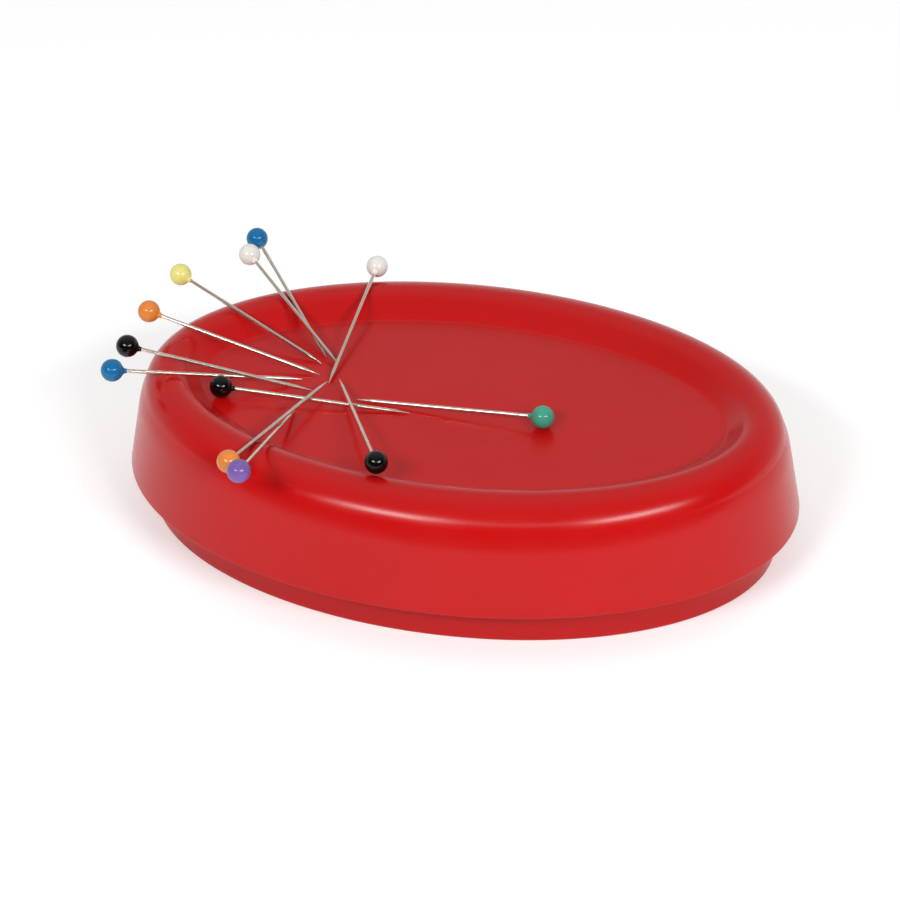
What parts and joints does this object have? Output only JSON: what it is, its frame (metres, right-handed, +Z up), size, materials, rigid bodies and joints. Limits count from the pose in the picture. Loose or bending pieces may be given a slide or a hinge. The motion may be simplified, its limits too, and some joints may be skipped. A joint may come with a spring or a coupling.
{
  "type": "magnetic pin bowl",
  "caption": "Oval magnetic pin bowl with a round rim and shallow dish, a closed base with magnets, and ball-head pins held together by their points.",
  "frame": {"origin": "middle of the bowl on the face it stands on", "axes": "+X along the length of the bowl, +Z up; the pins are gathered on the -X side"},
  "size_m": [0.1089, 0.0767, 0.0311],
  "materials": {
    "shell_red": "moulded, satin gloss",
    "cover_red": "moulded, satin gloss",
    "ferrite": "sintered, ground flat",
    "foam": "soft, matte",
    "steel": "drawn wire, nickel plated",
    "head_blue": "moulded ball, glossy",
    "head_white": "moulded ball, glossy",
    "head_yellow": "moulded ball, glossy",
    "head_orange": "moulded ball, glossy",
    "head_black": "moulded ball, glossy",
    "head_purple": "moulded ball, glossy",
    "head_green": "moulded ball, glossy"
  },
  "bodies": {
    "bowl": {"bowl_rim": "shell_red", "bowl_dish": "shell_red", "base_wall": "cover_red", "base_floor": "cover_red", "left_magnet": "ferrite", "right_magnet": "ferrite", "left_foam_pad": "foam", "right_foam_pad": "foam"},
    "blue_pin_back": {"blue_pin_back_shank": "steel", "blue_pin_back_head": "head_blue"},
    "white_pin_left": {"white_pin_left_shank": "steel", "white_pin_left_head": "head_white"},
    "white_pin_back": {"white_pin_back_shank": "steel", "white_pin_back_head": "head_white"},
    "yellow_pin": {"yellow_pin_shank": "steel", "yellow_pin_head": "head_yellow"},
    "orange_pin_left": {"orange_pin_left_shank": "steel", "orange_pin_left_head": "head_orange"},
    "black_pin_left": {"black_pin_left_shank": "steel", "black_pin_left_head": "head_black"},
    "blue_pin_left": {"blue_pin_left_shank": "steel", "blue_pin_left_head": "head_blue"},
    "black_pin_inner": {"black_pin_inner_shank": "steel", "black_pin_inner_head": "head_black"},
    "orange_pin_front": {"orange_pin_front_shank": "steel", "orange_pin_front_head": "head_orange"},
    "purple_pin": {"purple_pin_shank": "steel", "purple_pin_head": "head_purple"},
    "black_pin_front": {"black_pin_front_shank": "steel", "black_pin_front_head": "head_black"},
    "green_pin": {"green_pin_shank": "steel", "green_pin_head": "head_green"}
  },
  "joints": [
    {"name": "blue_pin_back_pull", "type": "slide", "parent": "bowl", "child": "blue_pin_back", "axis": [-0.62, 0.7521, 0.2235], "range_m": [0, 0.04]},
    {"name": "white_pin_left_pull", "type": "slide", "parent": "bowl", "child": "white_pin_left", "axis": [-0.9077, 0.2432, 0.342], "range_m": [0, 0.04]},
    {"name": "white_pin_back_pull", "type": "slide", "parent": "bowl", "child": "white_pin_back", "axis": [-0.0173, 0.9897, 0.1419], "range_m": [0, 0.04]},
    {"name": "yellow_pin_pull", "type": "slide", "parent": "bowl", "child": "yellow_pin", "axis": [-0.905, 0.3749, 0.2011], "range_m": [0, 0.04]},
    {"name": "orange_pin_left_pull", "type": "slide", "parent": "bowl", "child": "orange_pin_left", "axis": [-0.977, 0.1027, 0.187], "range_m": [0, 0.04]},
    {"name": "black_pin_left_pull", "type": "slide", "parent": "bowl", "child": "black_pin_left", "axis": [-0.9784, -0.0942, 0.1838], "range_m": [0, 0.04]},
    {"name": "blue_pin_left_pull", "type": "slide", "parent": "bowl", "child": "blue_pin_left", "axis": [-0.9056, -0.3938, 0.1578], "range_m": [0, 0.04]},
    {"name": "black_pin_inner_pull", "type": "slide", "parent": "bowl", "child": "black_pin_inner", "axis": [0, 0, 1], "range_m": [0, 0.04]},
    {"name": "orange_pin_front_pull", "type": "slide", "parent": "black_pin_inner", "child": "orange_pin_front", "axis": [-0.2154, -0.9717, 0.0972], "range_m": [0, 0.04]},
    {"name": "purple_pin_pull", "type": "slide", "parent": "bowl", "child": "purple_pin", "axis": [0.0253, -0.965, 0.2609], "range_m": [0, 0.04]},
    {"name": "black_pin_front_pull", "type": "slide", "parent": "black_pin_inner", "child": "black_pin_front", "axis": [0, 0, 1], "range_m": [0, 0.04]},
    {"name": "green_pin_pull", "type": "slide", "parent": "bowl", "child": "green_pin", "axis": [0, 0, 1], "range_m": [0, 0.04]}
  ]
}
